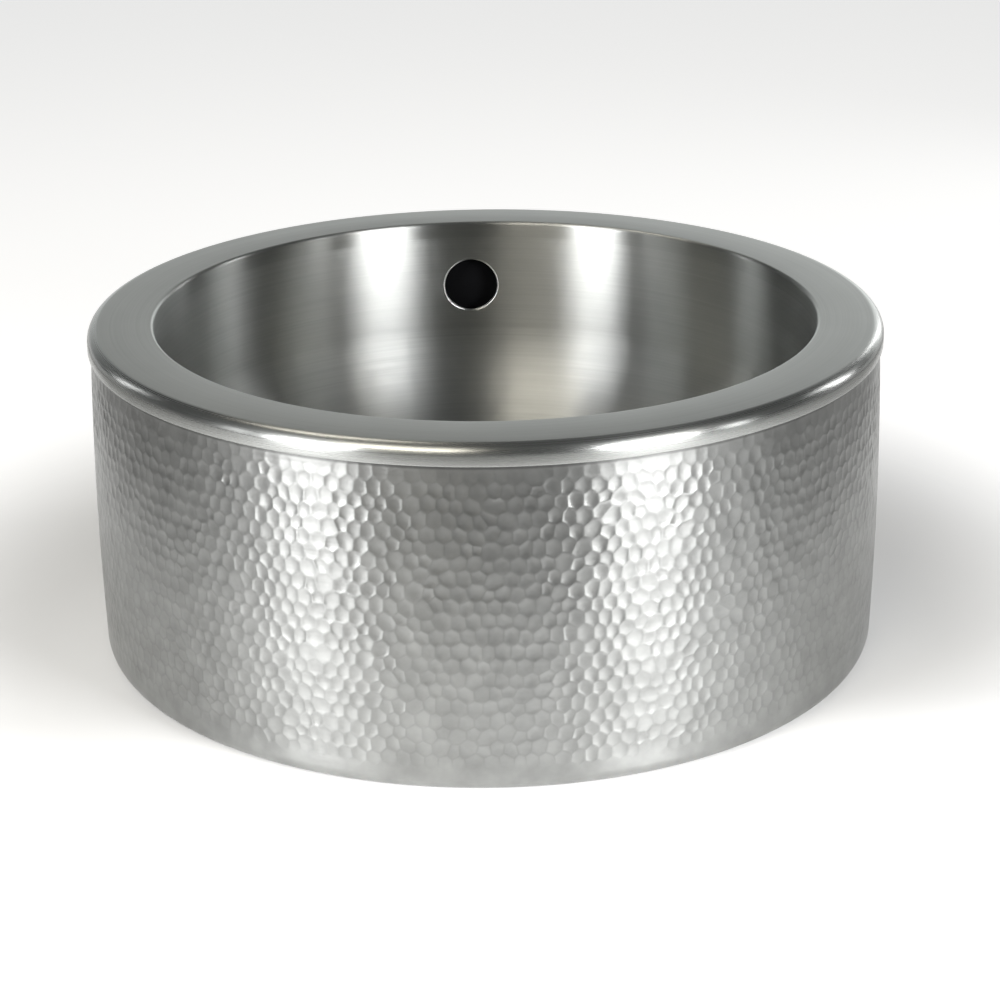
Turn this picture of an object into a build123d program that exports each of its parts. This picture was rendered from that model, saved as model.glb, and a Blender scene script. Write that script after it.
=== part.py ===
from build123d import *
from math import cos, radians, tan
import os

os.makedirs("parts", exist_ok=True)

# Round double-walled vessel sink in bent and spun sheet metal.
# Millimetres, +Z up. The origin is the centre of the foot, on the worktop.
# The overflow is at the back, towards +Y.

# Rim: a flat deck ring with a rounded mouth edge and a rolled outer edge
rim_radius = 203.2
deck_width = 33.6
deck_sheet = 1.5
mouth_edge_radius = 4.6
collar_depth = 9.0
rim_edge_radius = 5.8
skirt_depth = 10.2
skirt_edge_round = 0.5

# Bowl: a straight wall, a wide bend and a floor that falls to the drain well
bowl_sheet = 1.5
bowl_depth = 136.0
bowl_bend_radius = 70.0
floor_fall = 2.5
well_radius = 45.0
well_depth = 3.5
well_bend_radius = 4.0
drain_opening = 44.5

# Overflow hole in the bowl's back wall, measured down from the deck
overflow_hole = 30.0
overflow_drop = 37.5
overflow_edge_round = 1.0

# Apron: the outer wall, swelling slightly between its lap under the rim and its foot
apron_sheet = 1.5
apron_neck = 2.0
belly_swell = 2.3
belly_height = 55.0
foot_swell = 1.4
foot_strip = 10.0
foot_edge_radius = 7.5
foot_flange = 16.0

# Base plate: a dished disc inside the foot, with a pad that meets the worktop
base_sheet = 1.5
base_lip = 13.0
pad_radius = 62.0
pad_ramp = 8.0
pad_bend_radius = 6.0
vent_hole = 6.0
vent_offset = 130.0

# Overflow sump: a flanged cup between the drain well and the base plate
sump_sheet = 1.5
sump_height = 29.3
sump_radius = 33.0
sump_flange = 7.0
sump_bend_radius = 3.0

# Overflow duct: a pressed channel on the back of the bowl, from the hole to the sump
duct_sheet = 1.2
duct_width = 40.0
duct_depth = 12.0
duct_flange = 6.0
duct_edge_radius = 5.0
hood_rise = 5.0

# Gap that the brazing metal fills in each lap
braze_gap = 0.1

# Heights, stacked up from the worktop
sump_bottom = base_sheet + braze_gap
sump_top = sump_bottom + sump_height
well_floor = sump_top + braze_gap + bowl_sheet
floor_edge = well_floor + well_depth
rim_top = floor_edge + bowl_depth
collar_foot = rim_top - collar_depth
skirt_foot = rim_top - skirt_depth
overflow_height = rim_top - overflow_drop

# Radii, worked in from the rim
mouth_radius = rim_radius - deck_width
drain_radius = drain_opening / 2
lap_radius = rim_radius - deck_sheet - braze_gap
foot_radius = lap_radius + foot_swell
belly_radius = lap_radius + belly_swell


def floor_height(radius):
    """Height of the floor's inner face at a distance from the drain."""
    return floor_edge + (radius - well_radius) * tan(radians(floor_fall))


def bowl_corners(top):
    """Corners of the bowl's inner face, from a height on its wall to the drain."""
    return [
        (mouth_radius, top),
        (mouth_radius, floor_height(mouth_radius)),
        (well_radius, floor_edge),
        (well_radius - well_depth, well_floor),
        (drain_radius, well_floor),
    ]


bowl_bends = [bowl_bend_radius, well_bend_radius, well_bend_radius]


def bowl_space(growth):
    """Everything inside the bowl's outer skin, grown by a gap or a layer."""
    skin = bowl_sheet + growth
    with BuildPart() as space:
        with BuildSketch(Plane.XZ):
            with BuildLine():
                FilletPolyline(*bowl_corners(rim_top), radius=bowl_bends)
                offset(amount=skin, side=Side.LEFT, closed=False)
                Polyline(
                    (drain_radius, well_floor - skin),
                    (0, well_floor - skin),
                    (0, rim_top),
                    (mouth_radius + skin, rim_top),
                )
            make_face()
        revolve(axis=Axis.Z)
    return space.part


# The sump's underside, from the drain opening out to the edge of its flange
sump_corners = [
    (drain_radius, sump_bottom),
    (sump_radius, sump_bottom),
    (sump_radius, sump_top - sump_sheet),
    (sump_radius + sump_flange, sump_top - sump_sheet),
]


def duct_strip(standoff, top, width):
    """A solid strip from inside the bowl out to a standoff behind its inner face.

    It runs from a height above the overflow hole down the wall, round the bend
    and along under the floor into the sump.
    """
    back = mouth_radius + standoff
    sump_end = sump_radius - duct_depth
    drop = standoff / cos(radians(floor_fall))
    inside = mouth_radius - duct_depth
    with BuildPart() as strip:
        with BuildSketch(Plane.YZ):
            with BuildLine():
                FilletPolyline(
                    (inside, top),
                    (back, top),
                    (back, floor_height(back) - drop),
                    (sump_end, floor_height(sump_end) - drop),
                    radius=[duct_edge_radius, bowl_bend_radius + standoff],
                )
                Polyline(
                    (sump_end, floor_height(sump_end) - drop),
                    (sump_end, floor_height(sump_end)),
                    (inside, top),
                )
            make_face()
        extrude(amount=width / 2, both=True)
    return strip.part


# Rim deck: collar, rounded mouth edge, flat deck, rolled edge and skirt in one ring
with BuildPart() as rim_deck:
    with BuildSketch(Plane.XZ):
        with BuildLine():
            FilletPolyline(
                (mouth_radius, collar_foot),
                (mouth_radius, rim_top),
                (rim_radius, rim_top),
                (rim_radius, skirt_foot),
                radius=[mouth_edge_radius, rim_edge_radius],
            )
            offset(amount=deck_sheet, side=Side.RIGHT)
        make_face()
    revolve(axis=Axis.Z)
    skirt_edges = rim_deck.edges().filter_by(GeomType.CIRCLE).group_by(SortBy.RADIUS)[-1]
    fillet(skirt_edges.sort_by(Axis.Z)[0], skirt_edge_round)
rim_deck.part.label = "rim_deck"
export_step(rim_deck.part, "parts/rim_deck.step")

# Bowl: butted to the rim's collar, with the drain opening and the overflow hole
with BuildPart() as bowl:
    with BuildSketch(Plane.XZ):
        with BuildLine():
            FilletPolyline(*bowl_corners(collar_foot), radius=bowl_bends)
            offset(amount=bowl_sheet, side=Side.LEFT)
        make_face()
    revolve(axis=Axis.Z)
    with BuildSketch(Plane.XZ):
        with Locations((0, overflow_height)):
            Circle(overflow_hole / 2)
    extrude(amount=-rim_radius, mode=Mode.SUBTRACT)
    hole_wall = bowl.faces().filter_by(lambda face: face.radius == overflow_hole / 2)
    fillet(
        hole_wall.edges().filter_by(lambda edge: edge.center().Y < mouth_radius),
        overflow_edge_round,
    )
bowl.part.label = "bowl"
export_step(bowl.part, "parts/bowl.step")

# Apron: turned in under the foot, swelling to the belly, lapped inside the skirt
with BuildPart() as apron:
    with BuildSketch(Plane.XZ):
        with BuildLine():
            FilletPolyline(
                (foot_radius - foot_flange, 0),
                (foot_radius, 0),
                (foot_radius, foot_strip),
                radius=foot_edge_radius,
            )
            ThreePointArc(
                (foot_radius, foot_strip),
                (belly_radius, belly_height),
                (lap_radius, skirt_foot - apron_neck),
            )
            Line(
                (lap_radius, skirt_foot - apron_neck),
                (lap_radius, rim_top - rim_edge_radius - braze_gap),
            )
            offset(amount=apron_sheet, side=Side.LEFT)
        make_face()
    revolve(axis=Axis.Z)
apron.part.label = "apron"
export_step(apron.part, "parts/apron.step")

# Base plate: rests on the turned-in foot, its lip brazed to the inside of the apron
plate_rise = apron_sheet + braze_gap
lip_radius = foot_radius - apron_sheet - braze_gap
with BuildPart() as base_plate:
    with BuildSketch(Plane.XZ):
        with BuildLine():
            FilletPolyline(
                (drain_radius, 0),
                (pad_radius, 0),
                (pad_radius + pad_ramp, plate_rise),
                (lip_radius, plate_rise),
                (lip_radius, plate_rise + base_lip),
                radius=[pad_bend_radius, pad_bend_radius, foot_edge_radius - plate_rise],
            )
            offset(amount=base_sheet, side=Side.LEFT)
        make_face()
    revolve(axis=Axis.Z)
    with Locations((0, vent_offset, plate_rise + base_sheet)):
        Hole(vent_hole / 2)
base_plate.part.label = "base_plate"
export_step(base_plate.part, "parts/base_plate.step")

# Overflow duct: a channel with a closed hood at the top and a flange all round,
# shaped to the bowl's outer skin and let into the side of the sump
hood_top = overflow_height + overflow_hole / 2 + hood_rise
duct_clear = bowl_sheet + braze_gap + duct_depth

with BuildPart() as channel:
    add(duct_strip(duct_clear + duct_sheet, hood_top, duct_width))
    fillet(channel.faces().filter_by(Axis.X).edges(), duct_edge_radius)

with BuildPart() as hollow:
    add(duct_strip(duct_clear, hood_top - duct_sheet, duct_width - 2 * duct_sheet))
    fillet(hollow.faces().filter_by(Axis.X).edges(), duct_edge_radius - duct_sheet)
    add(bowl_space(0), mode=Mode.SUBTRACT)

with BuildPart() as sump_space:
    with BuildSketch(Plane.XZ):
        with BuildLine():
            FilletPolyline(*sump_corners, radius=sump_bend_radius)
            offset(amount=braze_gap, side=Side.RIGHT, closed=False)
            Polyline(
                (drain_radius, sump_bottom - braze_gap),
                (0, sump_bottom - braze_gap),
                (0, sump_top),
                (sump_radius + sump_flange, sump_top),
                (sump_radius + sump_flange, sump_top - sump_sheet - braze_gap),
            )
        make_face()
    revolve(axis=Axis.Z)

flange_strip = duct_strip(duct_clear, hood_top + duct_flange, duct_width + 2 * duct_flange)
flange_skin = bowl_space(braze_gap + duct_sheet)
bowl_fit = bowl_space(braze_gap)
with BuildPart() as overflow_duct:
    add(flange_strip)
    add(flange_skin, mode=Mode.INTERSECT)
    add(channel.part)
    add(hollow.part, mode=Mode.SUBTRACT)
    add(bowl_fit, mode=Mode.SUBTRACT)
    add(sump_space.part, mode=Mode.SUBTRACT)
overflow_duct.part.label = "overflow_duct"
export_step(overflow_duct.part, "parts/overflow_duct.step")

# Overflow sump: a spun cup with a window in its wall, where the duct lets in
with BuildPart() as overflow_sump:
    with BuildSketch(Plane.XZ):
        with BuildLine():
            FilletPolyline(*sump_corners, radius=sump_bend_radius)
            offset(amount=sump_sheet, side=Side.LEFT)
        make_face()
    revolve(axis=Axis.Z)
    add(hollow.part, mode=Mode.SUBTRACT)
overflow_sump.part.label = "overflow_sump"
export_step(overflow_sump.part, "parts/overflow_sump.step")
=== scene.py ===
import math
import random

import bmesh
import bpy
from mathutils import Matrix, Vector


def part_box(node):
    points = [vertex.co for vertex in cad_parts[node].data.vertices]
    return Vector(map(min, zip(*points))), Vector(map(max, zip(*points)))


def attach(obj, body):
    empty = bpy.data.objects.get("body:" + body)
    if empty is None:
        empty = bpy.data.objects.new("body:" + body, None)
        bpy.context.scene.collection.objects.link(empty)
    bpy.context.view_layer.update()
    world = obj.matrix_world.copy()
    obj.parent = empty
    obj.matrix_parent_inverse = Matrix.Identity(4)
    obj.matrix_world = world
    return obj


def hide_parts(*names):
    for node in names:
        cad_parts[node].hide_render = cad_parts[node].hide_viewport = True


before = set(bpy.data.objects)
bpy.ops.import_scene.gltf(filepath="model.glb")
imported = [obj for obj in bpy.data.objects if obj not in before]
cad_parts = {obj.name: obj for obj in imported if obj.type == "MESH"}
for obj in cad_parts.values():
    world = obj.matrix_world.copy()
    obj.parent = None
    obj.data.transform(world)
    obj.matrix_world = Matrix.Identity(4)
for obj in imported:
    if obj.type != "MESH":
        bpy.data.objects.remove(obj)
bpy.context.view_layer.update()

# Bowl: one spun sheet with a straight wall, a wide bend, a falling floor and a drain well.
# It is butted and brazed to the rim's collar, nickel plated, and brushed in circles round
# its axis on a lathe, so that it draws out what it mirrors up and down the wall.
bowl_bright = (0.442, 0.450, 0.440)
bowl_dull = (0.362, 0.369, 0.361)
bowl_roughness = 0.32
bowl_drawn_out = 1.0
brush_uneven = 0.04
brush_width = 0.0005
brush_length = 0.30
line_width = 0.0010
line_length = 0.12
scratch_width = 0.00010
scratch_depth = 0.000020
patch_size = 0.05
girth_radius = 0.2
hand_brushed = 1.2
bend_top = 0.090
wall_foot = 0.112


def computed(tree, operation, *terms):
    """The result of a math node over sockets and plain numbers."""
    node = tree.nodes.new("ShaderNodeMath")
    node.operation = operation
    for socket, term in zip(node.inputs, terms):
        if isinstance(term, (int, float)):
            socket.default_value = term
        else:
            tree.links.new(term, socket)
    return node.outputs[0]


def over_vector(tree, operation, vector):
    """A vector math node over one vector."""
    node = tree.nodes.new("ShaderNodeVectorMath")
    node.operation = operation
    tree.links.new(vector, node.inputs[0])
    return node


def place_on(tree):
    """Each point's place on its piece, in metres from the foot's centre."""
    return tree.nodes.new("ShaderNodeTexCoord").outputs["Object"]


def height_on(tree):
    """Each point's height over the worktop."""
    split = tree.nodes.new("ShaderNodeSeparateXYZ")
    tree.links.new(place_on(tree), split.inputs[0])
    return split.outputs["Z"]


def off_axis(tree):
    """Each point's level distance from the sink's axis, as a vector."""
    flat = over_vector(tree, "MULTIPLY", place_on(tree))
    flat.inputs[1].default_value = (1.0, 1.0, 0.0)
    return flat.outputs["Vector"]


def radius_on(tree):
    """Each point's radius from the sink's axis."""
    return over_vector(tree, "LENGTH", off_axis(tree)).outputs["Value"]


def stretched_round(tree, across, along):
    """Noise drawn out into lines that run round the sink's axis, with no seam."""
    heading = tree.nodes.new("ShaderNodeSeparateXYZ")
    outwards = over_vector(tree, "NORMALIZE", off_axis(tree)).outputs["Vector"]
    tree.links.new(outwards, heading.inputs[0])
    lines = tree.nodes.new("ShaderNodeCombineXYZ")
    noise = tree.nodes.new("ShaderNodeTexNoise")
    noise.noise_dimensions = "4D"
    noise.inputs["Scale"].default_value = 1.0
    noise.inputs["Detail"].default_value = 2.0
    tree.links.new(lines.outputs["Vector"], noise.inputs["Vector"])
    for value, factor, socket in (
        (radius_on(tree), 1 / across, lines.inputs["X"]),
        (height_on(tree), 1 / across, lines.inputs["Y"]),
        (heading.outputs["X"], girth_radius / along, lines.inputs["Z"]),
        (heading.outputs["Y"], girth_radius / along, noise.inputs["W"]),
    ):
        tree.links.new(computed(tree, "MULTIPLY", value, factor), socket)
    return noise.outputs["Fac"]


def patches(tree, size):
    """Soft uneven patches, as a plated and polished sheet has."""
    noise = tree.nodes.new("ShaderNodeTexNoise")
    noise.inputs["Scale"].default_value = 1 / size
    noise.inputs["Detail"].default_value = 3.0
    tree.links.new(place_on(tree), noise.inputs["Vector"])
    return noise.outputs["Fac"]


def ramped(tree, socket, start, end, low, high, kind="SMOOTHSTEP"):
    """A number that runs from low to high while another runs from start to end."""
    step = tree.nodes.new("ShaderNodeMapRange")
    step.interpolation_type = kind
    step.inputs["From Min"].default_value = start
    step.inputs["From Max"].default_value = end
    step.inputs["To Min"].default_value = low
    step.inputs["To Max"].default_value = high
    tree.links.new(socket, step.inputs["Value"])
    return step.outputs["Result"]


def between(tree, noise, low, high):
    """A number that runs from low to high over the middle of a noise."""
    return ramped(tree, noise, 0.3, 0.7, low, high, "LINEAR")


def tinted(tree, noise, dark, pale):
    """A colour between a dark and a pale tone of the same metal."""
    mix = tree.nodes.new("ShaderNodeMix")
    mix.data_type = "RGBA"
    colours = [socket for socket in mix.inputs if socket.type == "RGBA"]
    colours[0].default_value = (*dark, 1.0)
    colours[1].default_value = (*pale, 1.0)
    tree.links.new(between(tree, noise, 0.0, 1.0), mix.inputs[0])
    return [socket for socket in mix.outputs if socket.type == "RGBA"][0]


def grooved(tree, noise, depth):
    """A bump of a real depth, in metres."""
    bump = tree.nodes.new("ShaderNodeBump")
    bump.inputs["Distance"].default_value = depth
    tree.links.new(noise, bump.inputs["Height"])
    return bump.outputs["Normal"]


def plain_metal(name):
    """A new metal material with nothing on it yet: the material, its nodes and its shader."""
    material = bpy.data.materials.new(name)
    material.use_nodes = True
    metal = material.node_tree.nodes["Principled BSDF"]
    metal.inputs["Metallic"].default_value = 1.0
    return material, material.node_tree, metal


def worked_round(tree, metal, drawn_out):
    """A finish worked in circles, which draws out what it mirrors across them."""
    metal.inputs["Anisotropic"].default_value = drawn_out
    metal.inputs["Anisotropic Rotation"].default_value = 0.25
    around = tree.nodes.new("ShaderNodeTangent")
    around.direction_type = "RADIAL"
    around.axis = "Z"
    tree.links.new(around.outputs["Tangent"], metal.inputs["Tangent"])


def brushed_round(name, dull, bright, roughness, drawn_out, scratch):
    """Satin nickel brushed in circles, with scratches too fine to be seen one by one."""
    material, tree, metal = plain_metal(name)
    worked_round(tree, metal, drawn_out)
    worn = tree.nodes.new("ShaderNodeMix")
    tree.links.new(patches(tree, patch_size), worn.inputs["A"])
    tree.links.new(stretched_round(tree, line_width, line_length), worn.inputs["B"])
    shade = tinted(tree, worn.outputs["Result"], dull, bright)
    tree.links.new(shade, metal.inputs["Base Color"])
    brush = stretched_round(tree, brush_width, brush_length)
    rough = between(tree, brush, roughness - brush_uneven, roughness + brush_uneven)
    tree.links.new(rough, metal.inputs["Roughness"])
    scratches = stretched_round(tree, scratch_width, brush_length)
    tree.links.new(grooved(tree, scratches, scratch), metal.inputs["Normal"])
    return material


def roughness_times(material, factor):
    """Makes a finished metal rougher or smoother where a factor says so."""
    tree = material.node_tree
    roughness = tree.nodes["Principled BSDF"].inputs["Roughness"]
    brushed = roughness.links[0].from_socket
    tree.links.new(computed(tree, "MULTIPLY", brushed, factor), roughness)


bowl_nickel = brushed_round(
    "bowl_nickel", bowl_dull, bowl_bright, bowl_roughness, bowl_drawn_out, scratch_depth
)

# The bend and the floor are brushed by hand below the wall, and mirror less
tree = bowl_nickel.node_tree
by_hand = ramped(tree, height_on(tree), bend_top, wall_foot, hand_brushed, 1.0)
roughness_times(bowl_nickel, by_hand)
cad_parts["bowl"].material_slots[0].material = bowl_nickel

# Rim deck: a spun ring of sheet. Its inner edge is rounded down into the collar that the
# bowl is brazed to, and its outer edge is rolled over into a skirt that laps the apron.
# Its flat is brushed in circles too, but with a softer wheel, so it mirrors less.
rim_low, rim_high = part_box("rim_deck")
rim_radius = rim_high.x
rim_top = rim_high.z
deck_width = 0.0336
deck_sheet = 0.0015
collar_depth = 0.009
mouth_edge = 0.0018
rolled_edge = 0.0058
skirt_round = 0.0005
sliver = 0.0002
rim_turns = 256
edge_steps = 12
skirt_steps = 3
sharp_corner = math.radians(50)
rim_bright = (0.395, 0.402, 0.393)
rim_dull = (0.340, 0.347, 0.339)
rim_roughness = 0.34
rim_scratch = scratch_depth / 8
flat_brush = 0.10
roll_brush = 0.80
roll_polish = 0.82


def finished(name, bm):
    """Makes a mesh a smooth piece of the sink, which rides on its one body."""
    for face in bm.faces:
        face.smooth = True
    mesh = bpy.data.meshes.new(name)
    bm.to_mesh(mesh)
    bm.free()
    mesh.set_sharp_from_angle(angle=sharp_corner)
    piece = bpy.data.objects.new(name, mesh)
    bpy.context.scene.collection.objects.link(piece)
    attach(piece, "root")
    return piece


bm = bmesh.new()
mouth_radius = rim_radius - deck_width
profile = [
    bm.verts.new((mouth_radius, 0, rim_top - collar_depth)),
    bm.verts.new((mouth_radius, 0, rim_top)),
    bm.verts.new((rim_radius, 0, rim_top)),
    bm.verts.new((rim_radius, 0, rim_low.z)),
]
for start, end in zip(profile, profile[1:]):
    bm.edges.new((start, end))
for corner, radius in ((profile[1], mouth_edge), (profile[2], rolled_edge)):
    bmesh.ops.bevel(
        bm,
        geom=[corner],
        offset=radius,
        offset_type="OFFSET",
        affect="VERTICES",
        segments=edge_steps,
        profile=0.5,
        material=-1,
    )
bmesh.ops.spin(
    bm,
    geom=bm.verts[:] + bm.edges[:],
    cent=(0, 0, 0),
    axis=(0, 0, 1),
    dvec=(0, 0, 0),
    angle=2 * math.pi,
    steps=rim_turns,
    use_merge=True,
)
bmesh.ops.recalc_face_normals(bm, faces=bm.faces[:])
bmesh.ops.solidify(bm, geom=bm.faces[:], thickness=deck_sheet)
skirt_edge = []
for edge in bm.edges:
    low_down = all(point.co.z < rim_low.z + sliver for point in edge.verts)
    outermost = all(point.co.xy.length > rim_radius - sliver for point in edge.verts)
    if low_down and outermost:
        skirt_edge.append(edge)
bmesh.ops.bevel(
    bm,
    geom=skirt_edge,
    offset=skirt_round,
    offset_type="OFFSET",
    affect="EDGES",
    segments=skirt_steps,
    profile=0.5,
    material=-1,
)
rim = finished("smooth_rim", bm)
rim_nickel = brushed_round(
    "rim_nickel", rim_dull, rim_bright, rim_roughness, flat_brush, rim_scratch
)

# The mop runs in circles over the roll and the skirt, and the lathe's brush over the collar,
# so both draw out what they mirror. The flat between them has the softest finish.
tree = rim_nickel.node_tree
collar_full = mouth_radius + mouth_edge * 0.3
collar_end = mouth_radius + mouth_edge
roll_start = rim_radius - rolled_edge
roll_full = rim_radius - rolled_edge * 0.8
on_collar = ramped(tree, radius_on(tree), collar_full, collar_end, 1.0, flat_brush)
on_roll = ramped(tree, radius_on(tree), roll_start, roll_full, flat_brush, roll_brush)
drawn_out = computed(tree, "MAXIMUM", on_collar, on_roll)
tree.links.new(drawn_out, tree.nodes["Principled BSDF"].inputs["Anisotropic"])
mopped = ramped(tree, radius_on(tree), roll_start, roll_full, 1.0, roll_polish)
roughness_times(rim_nickel, mopped)
rim.data.materials.append(rim_nickel)
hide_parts("rim_deck")

# Apron: the outer wall, a band of sheet struck all over with a small round-faced hammer.
# It is tucked up behind the rim's skirt, swells slightly, and is turned in under the sink
# at a plain foot. Nickel plated after hammering and polished, so the ridges are smooth.
apron_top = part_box("apron")[1].z
belly_radius = 0.2038
foot_radius = 0.2030
lap_radius = 0.2016
neck_height = 0.1598
belly_height = 0.055
foot_strip = 0.010
foot_edge = 0.0075
foot_flange = 0.016
foot_steps = 8
foot_bend_out = 0.7
foot_bend_up = 0.45
apron_sheet = 0.0015
dimple_width = 0.0068
dimple_stretch = 1.2
dimple_depth = 0.00030
dimple_shallowest = 0.55
dimple_deepest = 1.25
dimple_tilt = 0.02
dimple_wander = 0.30 * dimple_width
most_rounded = 1.3
ridge_reach = 0.5
hammered_from = 0.0090
hammered_to = 0.1645
hammer_fade = 0.006
lap_edge = rim_low.z
lap_fade = 0.014
lap_strength = 0.20
hammer = random.Random(7)
struck_bright = (0.337, 0.342, 0.336)
struck_dull = (0.265, 0.269, 0.264)
struck_patch = 0.012
struck_smoothest = 0.29
struck_roughest = 0.36
struck_drawn_out = 0.85
mop_line = 0.05
mop_groove = 0.00001
# Painted shade in a thin band close under the lap
lap_shade = 0.60
lap_shade_starts = 0.0021
lap_shade_full = 0.0010
# Painted light towards the foot and painted shade towards the neck, as factors on the colour
foot_painted_light = 1.06
neck_painted_shade = 0.83
# Painted shade on the ridges between the dishes
painted_ridge_shade = 0.90


def apron_radius(height):
    """Outer radius at a height, on one shallow curve through the foot, belly and neck."""
    foot, belly, neck = foot_strip, belly_height, neck_height
    height = min(height, neck)
    from_foot = (height - belly) * (height - neck) / ((foot - belly) * (foot - neck))
    from_belly = (height - foot) * (height - neck) / ((belly - foot) * (belly - neck))
    from_neck = (height - foot) * (height - belly) / ((neck - foot) * (neck - belly))
    return foot_radius * from_foot + belly_radius * from_belly + lap_radius * from_neck


def struck_at(height):
    """How hard the hammer strikes at a height: not at the foot, and lightly at the lap."""
    off_foot = min(max((height - hammered_from - hammer_fade / 2) / hammer_fade, 0), 1)
    off_lap = min(max((lap_edge - height) / lap_fade, 0), 1)
    return off_foot * (lap_strength + (1 - lap_strength) * off_lap)


def way_round(place):
    """How far round the sink a place is, so that the dishes are struck in a fixed order."""
    return math.atan2(place.y, place.x) + place.z


def at_radius(point, radius):
    """Moves a point straight out from the axis, or in, to a radius."""
    reach = math.hypot(point.co.x, point.co.y)
    point.co.x *= radius / reach
    point.co.y *= radius / reach


def next_ring(bm, edges, radius, height):
    """Extrudes a ring of edges to a new radius and height: its points and its edges."""
    made = bmesh.ops.extrude_edge_only(bm, edges=edges)["geom"]
    points = [item for item in made if isinstance(item, bmesh.types.BMVert)]
    fresh = set(points)
    for point in points:
        at_radius(point, radius)
        point.co.z = height
    edges = [item for item in made if isinstance(item, bmesh.types.BMEdge)]
    return points, [edge for edge in edges if fresh.issuperset(edge.verts)]


# A band of staggered points, each moved a little aside, becomes a net of triangles, and the
# net is turned inside out: each point's own cell of edges is one stroke of the hammer.
columns = round(2 * math.pi * foot_radius / dimple_width)
row_height = dimple_width * dimple_stretch * math.sqrt(3) / 2
rows = round((hammered_to - hammered_from) / row_height)
rise = (hammered_to - hammered_from) / rows
half_column = Matrix.Rotation(math.pi / columns, 3, "Z")
bm = bmesh.new()
foot_ring = bmesh.ops.create_circle(
    bm, cap_ends=False, radius=foot_radius, segments=columns
)["verts"]
bmesh.ops.translate(bm, verts=foot_ring, vec=(0, 0, hammered_from))
foot_edges = bm.edges[:]
lap_edges = foot_edges
strokes = []
for row in range(1, rows + 1):
    ring, lap_edges = next_ring(bm, lap_edges, foot_radius, hammered_from + row * rise)
    bmesh.ops.rotate(bm, verts=ring, cent=(0, 0, 0), matrix=half_column)
    if row < rows:
        strokes += ring
for stroke in strokes:
    turn = hammer.uniform(-dimple_wander, dimple_wander) / foot_radius
    stroke.co = Matrix.Rotation(turn, 3, "Z") @ stroke.co
    stroke.co.z += hammer.uniform(-dimple_wander, dimple_wander)
bmesh.ops.triangulate(bm, faces=bm.faces[:])
net = [edge for edge in bm.edges if not edge.is_boundary]
bmesh.ops.beautify_fill(bm, faces=bm.faces[:], edges=net, method="ANGLE")
net = [edge for edge in bm.edges if not edge.is_boundary]
bmesh.ops.poke(bm, faces=bm.faces[:])
bmesh.ops.rotate_edges(bm, edges=net, use_ccw=False)
bmesh.ops.dissolve_verts(bm, verts=strokes)
for point in bm.verts:
    at_radius(point, apron_radius(point.co.z))

# Each cell is sunk to a shallow round dish, a little tilted, in two rings and a middle point.
# The ridge layer says how near the ridge between two dishes a point is, and there the colour is
# darkened as painted shade.
ridge = bm.verts.layers.float.new("ridge")
for point in bm.verts:
    point[ridge] = struck_at(point.co.z)
dishes = [face for face in bm.faces if len(face.verts) > 3]
dishes.sort(key=lambda dish: way_round(dish.calc_center_median()))
middles = [dish.calc_center_median() for dish in dishes]
depths = []
tilts = []
for middle in middles:
    struck = struck_at(middle.z)
    depths.append(dimple_depth * hammer.uniform(dimple_shallowest, dimple_deepest) * struck)
    outward = Vector((middle.x, middle.y, 0)).normalized()
    sideways = Vector((-outward.y, outward.x, 0)) * hammer.uniform(-dimple_tilt, dimple_tilt)
    upwards = Vector((0, 0, 1)) * hammer.uniform(-dimple_tilt, dimple_tilt)
    tilts.append((sideways + upwards) * struck)

# Of each ring: how much it is shrunk, its share of the dish's reach, and how round it is
dish_rings = ((0.80, 0.80, 0.35), (0.58, 0.46, 0.6))
for shrink, share, roundness in dish_rings:
    bmesh.ops.inset_individual(bm, faces=dishes, thickness=0, depth=0)
    for dish, middle, depth, tilt in zip(dishes, middles, depths, tilts):
        spokes = [corner.co - middle for corner in dish.verts]
        reach = sum(spoke.length for spoke in spokes) / len(spokes)
        for corner, spoke in zip(dish.verts, spokes):
            corner[ridge] = max(share - ridge_reach, 0)
            rounded = spoke.normalized() * min(reach, spoke.length * most_rounded)
            corner.co = middle + spoke.lerp(rounded, roundness) * shrink
            sunk = depth * (1 - share * share) + tilt.dot(corner.co - middle)
            at_radius(corner, apron_radius(corner.co.z) - sunk)
bottoms = bmesh.ops.poke(bm, faces=dishes)["verts"]
for bottom in bottoms:
    bottom[ridge] = 0
    around = [edge.other_vert(bottom).co for edge in bottom.link_edges]
    sunk = sum(apron_radius(co.z) - math.hypot(co.x, co.y) for co in around) / len(around)
    at_radius(bottom, apron_radius(bottom.co.z) - sunk / (1 - share * share))

# The plain lap above and the plain foot below, then the wall's inner side
for radius, height in (
    (lap_radius, apron_top),
    (lap_radius - apron_sheet, apron_top),
    (lap_radius - apron_sheet, neck_height),
    (belly_radius - apron_sheet, belly_height),
):
    ring, lap_edges = next_ring(bm, lap_edges, radius, height)
foot_centre = foot_radius - foot_edge
flange_radius = foot_radius - foot_flange
foot_profile = [(foot_radius, foot_edge)]
for step in range(1, foot_steps + 1):
    turn = step / foot_steps * math.pi / 2
    foot_profile.append(
        (foot_radius - foot_edge * (1 - math.cos(turn)), foot_edge * (1 - math.sin(turn)))
    )
foot_profile += [
    (flange_radius, 0),
    (flange_radius, apron_sheet),
    (foot_centre, apron_sheet),
    (foot_centre + foot_bend_out * (foot_edge - apron_sheet), foot_edge * foot_bend_up),
    (foot_radius - apron_sheet, foot_edge),
]
for radius, height in foot_profile:
    ring, foot_edges = next_ring(bm, foot_edges, radius, height)
bmesh.ops.bridge_loops(bm, edges=lap_edges + foot_edges)
bmesh.ops.recalc_face_normals(bm, faces=bm.faces[:])
apron = finished("hammered_apron", bm)


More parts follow.
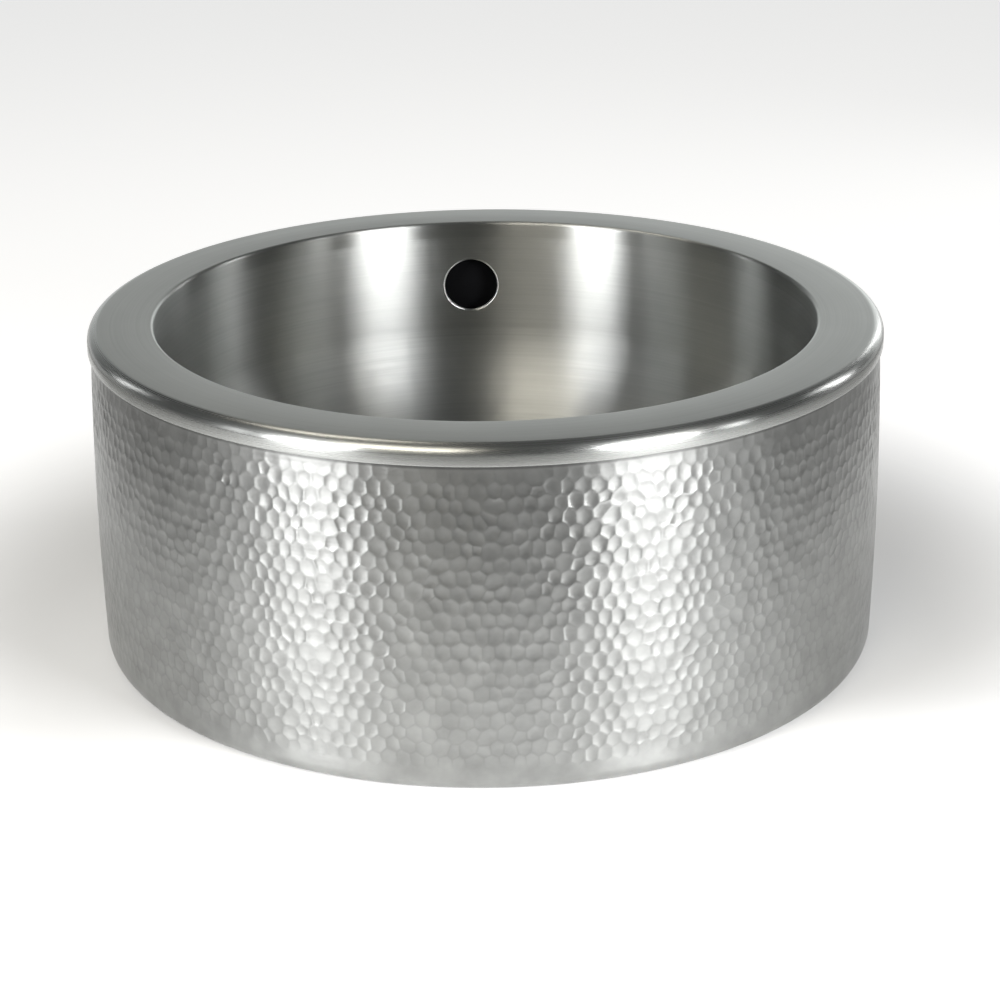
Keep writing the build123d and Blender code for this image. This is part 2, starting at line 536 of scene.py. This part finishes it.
def hammered_metal(name):
    """Nickel polished over hammer marks, with faint lines from the polishing wheel.

    Its colour is lightened as painted light towards the foot, and darkened as painted shade
    towards the neck, on the ridges and close under the lap.
    """
    material, tree, metal = plain_metal(name)
    worked_round(tree, metal, struck_drawn_out)
    # Painted light towards the foot, painted shade towards the neck
    painted_height_tone = ramped(tree, height_on(tree), hammered_from, hammered_to, foot_painted_light, neck_painted_shade)
    # Painted shade in a thin band close under the lap
    shade_from = lap_edge - lap_shade_starts
    shade_to = lap_edge - lap_shade_full
    painted_lap_darkening = ramped(tree, height_on(tree), shade_from, shade_to, 1.0, lap_shade)
    # Painted shade on the ridges between the dishes
    ridge = tree.nodes.new("ShaderNodeAttribute")
    ridge.attribute_name = "ridge"
    painted_ridge_darkening = ramped(tree, ridge.outputs["Fac"], 0.0, 1.0, 1.0, painted_ridge_shade)
    # All the painted light and shade together scale the metal's colour
    tone = computed(tree, "MULTIPLY", computed(tree, "MULTIPLY", painted_height_tone, painted_lap_darkening), painted_ridge_darkening)
    shade = tinted(tree, patches(tree, struck_patch), struck_dull, struck_bright)
    shaded = over_vector(tree, "SCALE", shade)
    tree.links.new(tone, shaded.inputs["Scale"])
    tree.links.new(shaded.outputs["Vector"], metal.inputs["Base Color"])
    brush = stretched_round(tree, brush_width, mop_line)
    rough = between(tree, brush, struck_smoothest, struck_roughest)
    tree.links.new(rough, metal.inputs["Roughness"])
    tree.links.new(grooved(tree, brush, mop_groove), metal.inputs["Normal"])
    return material


apron.data.materials.append(hammered_metal("hammered_nickel"))
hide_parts("apron")

# Base plate: a dished disc of rolled sheet inside the foot, brazed by its lip to the apron.
# It isn't plated, so it shows the mill's straight grain. Seen from below only.
sheet_pale = (0.50, 0.485, 0.46)
sheet_dull = (0.38, 0.365, 0.34)
sheet_roughness = 0.42
sheet_uneven = 0.06
sheet_patch = 0.04
grain_per_metre = (25, 1400, 1400)
grain_depth = 0.00001


def rolled_sheet(name, dark, pale, roughness):
    """Bare rolled sheet with a straight grain along X."""
    material, tree, metal = plain_metal(name)
    stretch = tree.nodes.new("ShaderNodeMapping")
    stretch.inputs["Scale"].default_value = grain_per_metre
    tree.links.new(place_on(tree), stretch.inputs["Vector"])
    noise = tree.nodes.new("ShaderNodeTexNoise")
    noise.inputs["Scale"].default_value = 1.0
    noise.inputs["Detail"].default_value = 4.0
    tree.links.new(stretch.outputs["Vector"], noise.inputs["Vector"])
    grain = noise.outputs["Fac"]
    shade = tinted(tree, patches(tree, sheet_patch), dark, pale)
    tree.links.new(shade, metal.inputs["Base Color"])
    rough = between(tree, grain, roughness - sheet_uneven, roughness + sheet_uneven)
    tree.links.new(rough, metal.inputs["Roughness"])
    tree.links.new(grooved(tree, grain, grain_depth), metal.inputs["Normal"])
    return material


base_metal = rolled_sheet("base_sheet", sheet_dull, sheet_pale, sheet_roughness)
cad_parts["base_plate"].material_slots[0].material = base_metal

# Overflow duct and sump: a pressed channel on the back of the bowl, and the spun cup it
# lets into. Both are coloured near black as painted shade, so the overflow hole looks black from
# the front.
duct_painted_shade = (0.0050, 0.0050, 0.0058)
duct_painted_shade_pale = (0.0110, 0.0112, 0.0125)
duct_roughness = 0.55
duct_metal = rolled_sheet("duct_sheet", duct_painted_shade, duct_painted_shade_pale, duct_roughness)
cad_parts["overflow_duct"].material_slots[0].material = duct_metal
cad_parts["overflow_sump"].material_slots[0].material = duct_metal

# Stage: a wide sheet of pale paper under the sink. To the camera and in the metal it glows
# like a lit studio floor. The glow is painted light: painted shade close round the sink, and a
# painted pool of light in front of it.
floor_width = 24.0
floor_grey = 0.60
floor_roughness = 0.9
floor_gloss = 0.2
glow_near = 0.05
glow_far = 0.66
glow_far_from = 0.23
glow_far_full = 0.44
glow_front = 0.60
glow_front_from = -0.10
glow_front_full = -0.24
glow_front_fades = 0.26
glow_front_ends = 0.44


def laid_flat(name, width, depth, middle, grey):
    """A matt sheet on the floor, which is stage and no part of the sink: it and its surface."""
    bm = bmesh.new()
    bmesh.ops.create_grid(bm, x_segments=1, y_segments=1, size=0.5)
    bmesh.ops.scale(bm, vec=(width, depth, 1.0), verts=bm.verts[:])
    bmesh.ops.translate(bm, vec=middle, verts=bm.verts[:])
    mesh = bpy.data.meshes.new(name)
    bm.to_mesh(mesh)
    bm.free()
    sheet = bpy.data.objects.new(name, mesh)
    bpy.context.scene.collection.objects.link(sheet)
    paper = bpy.data.materials.new(name)
    paper.use_nodes = True
    surface = paper.node_tree.nodes["Principled BSDF"]
    surface.inputs["Base Color"].default_value = (grey, grey, grey, 1)
    sheet.data.materials.append(paper)
    return sheet, surface


floor, surface = laid_flat("floor", floor_width, floor_width, (0, 0, 0), floor_grey)
surface.inputs["Roughness"].default_value = floor_roughness
surface.inputs["Specular IOR Level"].default_value = floor_gloss
surface.inputs["Emission Color"].default_value = (1, 1, 1, 1)
paper = floor.data.materials[0].node_tree
ray = paper.nodes.new("ShaderNodeLightPath").outputs
seen = computed(paper, "MAXIMUM", ray["Is Camera Ray"], ray["Is Glossy Ray"])
seen = computed(paper, "MAXIMUM", seen, ray["Is Transmission Ray"])
reach = over_vector(paper, "LENGTH", place_on(paper)).outputs["Value"]
place = paper.nodes.new("ShaderNodeSeparateXYZ")
paper.links.new(place_on(paper), place.inputs[0])
glow_round = ramped(paper, reach, glow_far_from, glow_far_full, glow_near, glow_far)
ahead = ramped(paper, place.outputs["Y"], glow_front_from, glow_front_full, 0.0, glow_front)
close_by = ramped(paper, reach, glow_front_fades, glow_front_ends, 1.0, 0.0)
glow = computed(paper, "MULTIPLY_ADD", ahead, close_by, glow_round)
glow = computed(paper, "MULTIPLY", seen, glow)
paper.links.new(glow, surface.inputs["Emission Strength"])

# Matt cards lie on the floor out of the picture, a dark one in front and a grey one at each
# side. They show only in the metal, as the cards round a photographer's table do.
front_grey = 0.30
front_width = 4.0
front_depth = 1.6
front_middle = (0, -1.22, 0.002)
side_grey = 0.44
side_width = 1.6
side_depth = 1.3
side_middle = 0.445 + side_width / 2
side_back = 0.15
side_lift = 0.0015
for name, width, depth, middle, grey in (
    ("front_card", front_width, front_depth, front_middle, front_grey),
    ("left_card", side_width, side_depth, (-side_middle, side_back, side_lift), side_grey),
    ("right_card", side_width, side_depth, (side_middle, side_back, side_lift), side_grey),
):
    card = laid_flat(name, width, depth, middle, grey)[0]
    card.visible_camera = False
    card.visible_diffuse = False
    card.visible_shadow = False

# The room is dim, but for a glow low down behind the sink that is stronger on the right
backdrop_left = 0.22
backdrop_right = 1.95
backdrop_spread = 0.6
backdrop_from = 0.62
backdrop_full = 0.97
backdrop_fades = 0.10
backdrop_ends = 0.56
room_light = 0.12
room_tint = (0.97, 1.0, 0.985, 1)
world = bpy.data.worlds.new("studio")
bpy.context.scene.world = world
world.use_nodes = True
sky = world.node_tree
compass = sky.nodes.new("ShaderNodeSeparateXYZ")
sky.links.new(sky.nodes.new("ShaderNodeTexCoord").outputs["Generated"], compass.inputs[0])
compass = compass.outputs
behind = ramped(sky, compass["Y"], backdrop_from, backdrop_full, 0.0, 1.0)
low_down = ramped(sky, compass["Z"], backdrop_fades, backdrop_ends, 1.0, 0.0)
sideways = ramped(
    sky, compass["X"], -backdrop_spread, backdrop_spread, backdrop_left, backdrop_right, "LINEAR"
)
backdrop = computed(sky, "MULTIPLY", behind, low_down)
room = computed(sky, "MULTIPLY_ADD", backdrop, sideways, room_light)
sky.links.new(room, sky.nodes["Background"].inputs["Strength"])
sky.nodes["Background"].inputs["Color"].default_value = room_tint

# Two soft boxes in front, left and right, make the bright bands down the apron and the bowl.
# Weak strips light the sides and the back, and warm windows the roll and the bowl's floor.
lamp_aim = 0.15
white = (1, 1, 1)
warm = (1.0, 0.94, 0.82)


def soft_box(name, turn, tilt, distance, width, height, brightness, tint):
    """A soft box facing the sink: turn is from the front to the right, tilt is upwards."""
    lamp = bpy.data.lights.new(name, "AREA")
    lamp.shape = "RECTANGLE"
    lamp.size = width
    lamp.size_y = height
    lamp.energy = brightness * math.pi * width * height
    lamp.color = tint
    box = bpy.data.objects.new(name, lamp)
    turn = math.radians(turn)
    tilt = math.radians(tilt)
    level = math.cos(tilt)
    aim = Vector((level * math.sin(turn), -level * math.cos(turn), math.sin(tilt)))
    box.location = Vector((0, 0, lamp_aim)) + aim * distance
    box.rotation_euler = aim.to_track_quat("Z", "Y").to_euler()
    box.visible_camera = False
    bpy.context.scene.collection.objects.link(box)


soft_box("left_box", -47, 12, 1.0, 0.31, 0.32, 29.5, white)
soft_box("right_box", 37.2, 12, 1.0, 0.36, 0.32, 30.5, white)
soft_box("left_strip", -69, 12, 1.2, 0.14, 0.4, 3, white)
soft_box("right_strip", 63, 12, 1.2, 0.16, 0.4, 4.5, white)
soft_box("left_back_strip", -118, 20, 1.2, 0.08, 0.4, 6, white)
soft_box("right_back_strip", 108, 20, 1.2, 0.15, 0.4, 8, white)
soft_box("right_far_strip", 140, 14, 1.2, 0.09, 0.4, 5, white)
soft_box("warm_window", -28, 42, 1.6, 0.80, 0.50, 7.5, warm)
soft_box("warm_side_window", 48, 30, 1.6, 0.28, 0.28, 4, warm)
soft_box("warm_ceiling", -150, 60, 1.6, 0.60, 0.35, 4, warm)

# Camera: 1.3 m away, 3 degrees to the left of the front, looking 21.6 degrees down
camera_turn = math.radians(-3.06)
camera_pitch = 0.3764705
camera_roll = math.radians(-0.538)
camera_place = (-0.05862, -1.21972, 0.54888)
lens = bpy.data.cameras.new("camera")
lens.lens = 89.15
lens.sensor_width = 36
camera = bpy.data.objects.new("camera", lens)
aim = Matrix.Rotation(camera_turn, 4, "Z")
aim = aim @ Matrix.Rotation(math.pi / 2 - camera_pitch, 4, "X")
aim = aim @ Matrix.Rotation(camera_roll, 4, "Z")
camera.matrix_world = Matrix.Translation(camera_place) @ aim
bpy.context.scene.collection.objects.link(camera)
bpy.context.scene.camera = camera
bpy.context.scene.view_settings.view_transform = "Standard"
